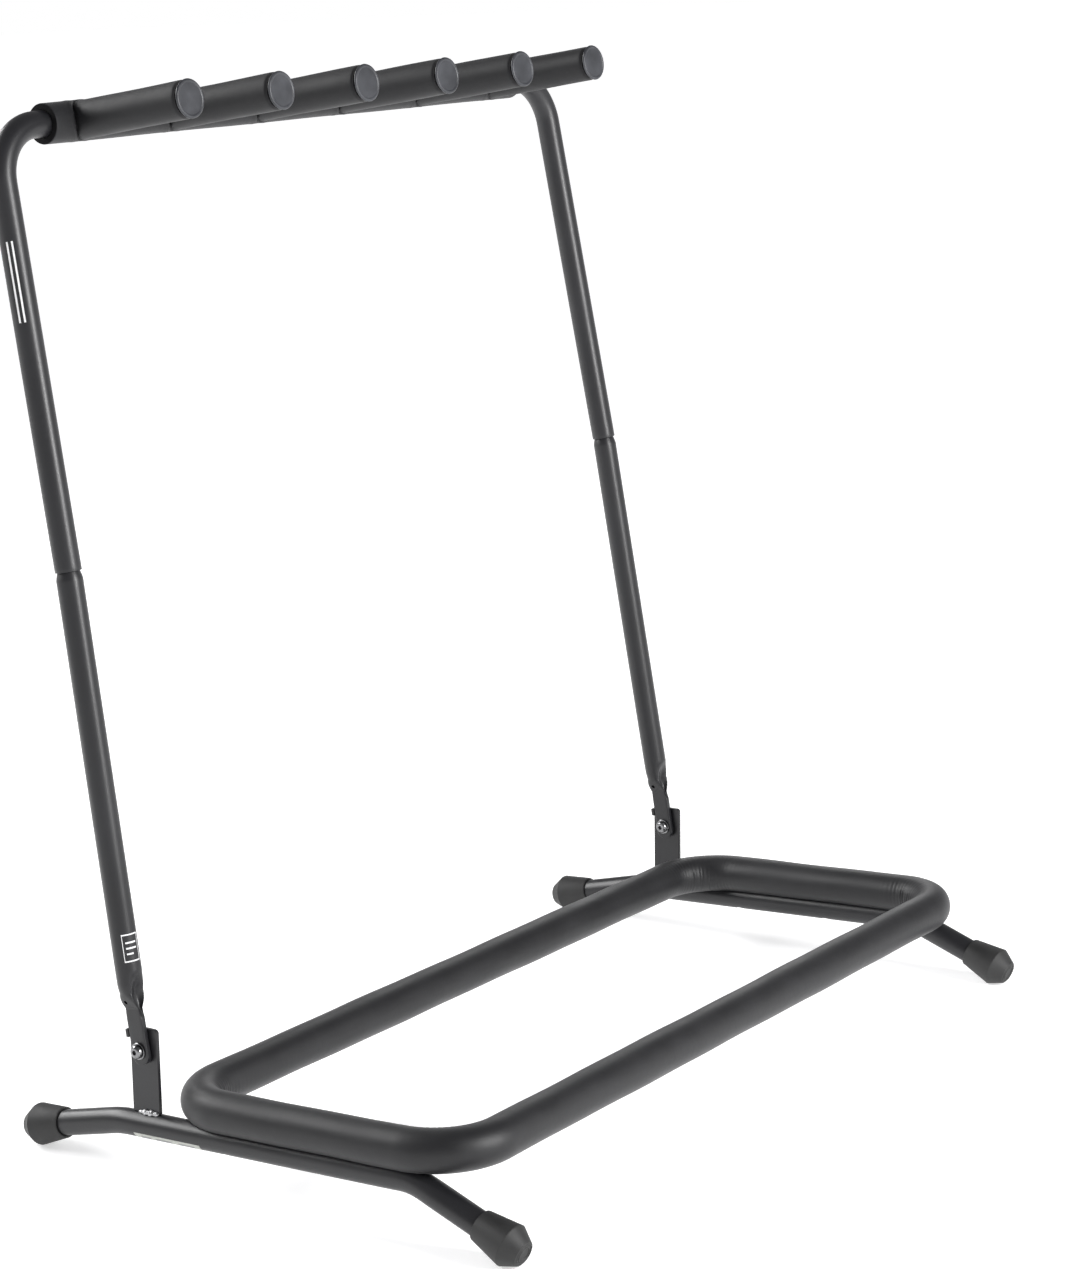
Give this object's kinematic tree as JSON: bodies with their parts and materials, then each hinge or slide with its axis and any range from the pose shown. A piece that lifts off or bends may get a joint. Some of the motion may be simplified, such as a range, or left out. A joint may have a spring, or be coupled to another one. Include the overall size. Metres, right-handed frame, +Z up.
{
  "type": "guitar rack",
  "caption": "Folding open-frame guitar rack: bent foot tubes, a foam-covered cradle loop, two hinged uprights and a lift-off yoke with padded neck fingers.",
  "frame": {"origin": "under the middle of the rack's overall box, on the floor plane", "axes": "+X to the right seen from the front, +Y to the rear, -Y where the neck fingers point, +Z up"},
  "size_m": [0.693, 0.455, 0.7642],
  "materials": {
    "powder_coated_steel": "satin",
    "black_foam": "matte",
    "black_rubber": "matte",
    "cap_plastic": "satin",
    "zinc_plated_steel": "satin"
  },
  "bodies": {
    "base": {"cradle_foam": "black_foam", "cradle_tube": "powder_coated_steel", "left_foot_tube": "powder_coated_steel", "left_front_foot": "black_rubber", "left_rear_foot": "black_rubber", "left_bracket": "powder_coated_steel", "left_cradle_screw_1": "zinc_plated_steel", "left_cradle_screw_2": "zinc_plated_steel", "left_pivot_bolt": "zinc_plated_steel", "left_pivot_nut": "zinc_plated_steel", "left_bolt_washer": "zinc_plated_steel", "left_nut_washer": "zinc_plated_steel", "right_foot_tube": "powder_coated_steel", "right_front_foot": "black_rubber", "right_rear_foot": "black_rubber", "right_bracket": "powder_coated_steel", "right_cradle_screw_1": "zinc_plated_steel", "right_cradle_screw_2": "zinc_plated_steel", "right_pivot_bolt": "zinc_plated_steel", "right_pivot_nut": "zinc_plated_steel", "right_bolt_washer": "zinc_plated_steel", "right_nut_washer": "zinc_plated_steel"},
    "back_frame": {"left_lower_leg": "powder_coated_steel", "right_lower_leg": "powder_coated_steel"},
    "yoke": {"yoke_tube": "powder_coated_steel", "crossbar_foam": "black_foam", "finger_1_tube": "powder_coated_steel", "finger_1_foam": "black_foam", "finger_1_cap": "cap_plastic", "finger_2_tube": "powder_coated_steel", "finger_2_foam": "black_foam", "finger_2_cap": "cap_plastic", "finger_3_tube": "powder_coated_steel", "finger_3_foam": "black_foam", "finger_3_cap": "cap_plastic", "finger_4_tube": "powder_coated_steel", "finger_4_foam": "black_foam", "finger_4_cap": "cap_plastic", "finger_5_tube": "powder_coated_steel", "finger_5_foam": "black_foam", "finger_5_cap": "cap_plastic", "finger_6_tube": "powder_coated_steel", "finger_6_foam": "black_foam", "finger_6_cap": "cap_plastic"}
  },
  "joints": [
    {"name": "back_frame_fold", "type": "hinge", "parent": "base", "child": "back_frame", "pos_m": [0, 0.1043, 0.0922], "axis": [1, 0, 0], "range_deg": [0, 93]},
    {"name": "yoke_lift", "type": "slide", "parent": "back_frame", "child": "yoke", "axis": [0, 0.1495, 0.9888], "range_m": [0, 0.045]}
  ]
}
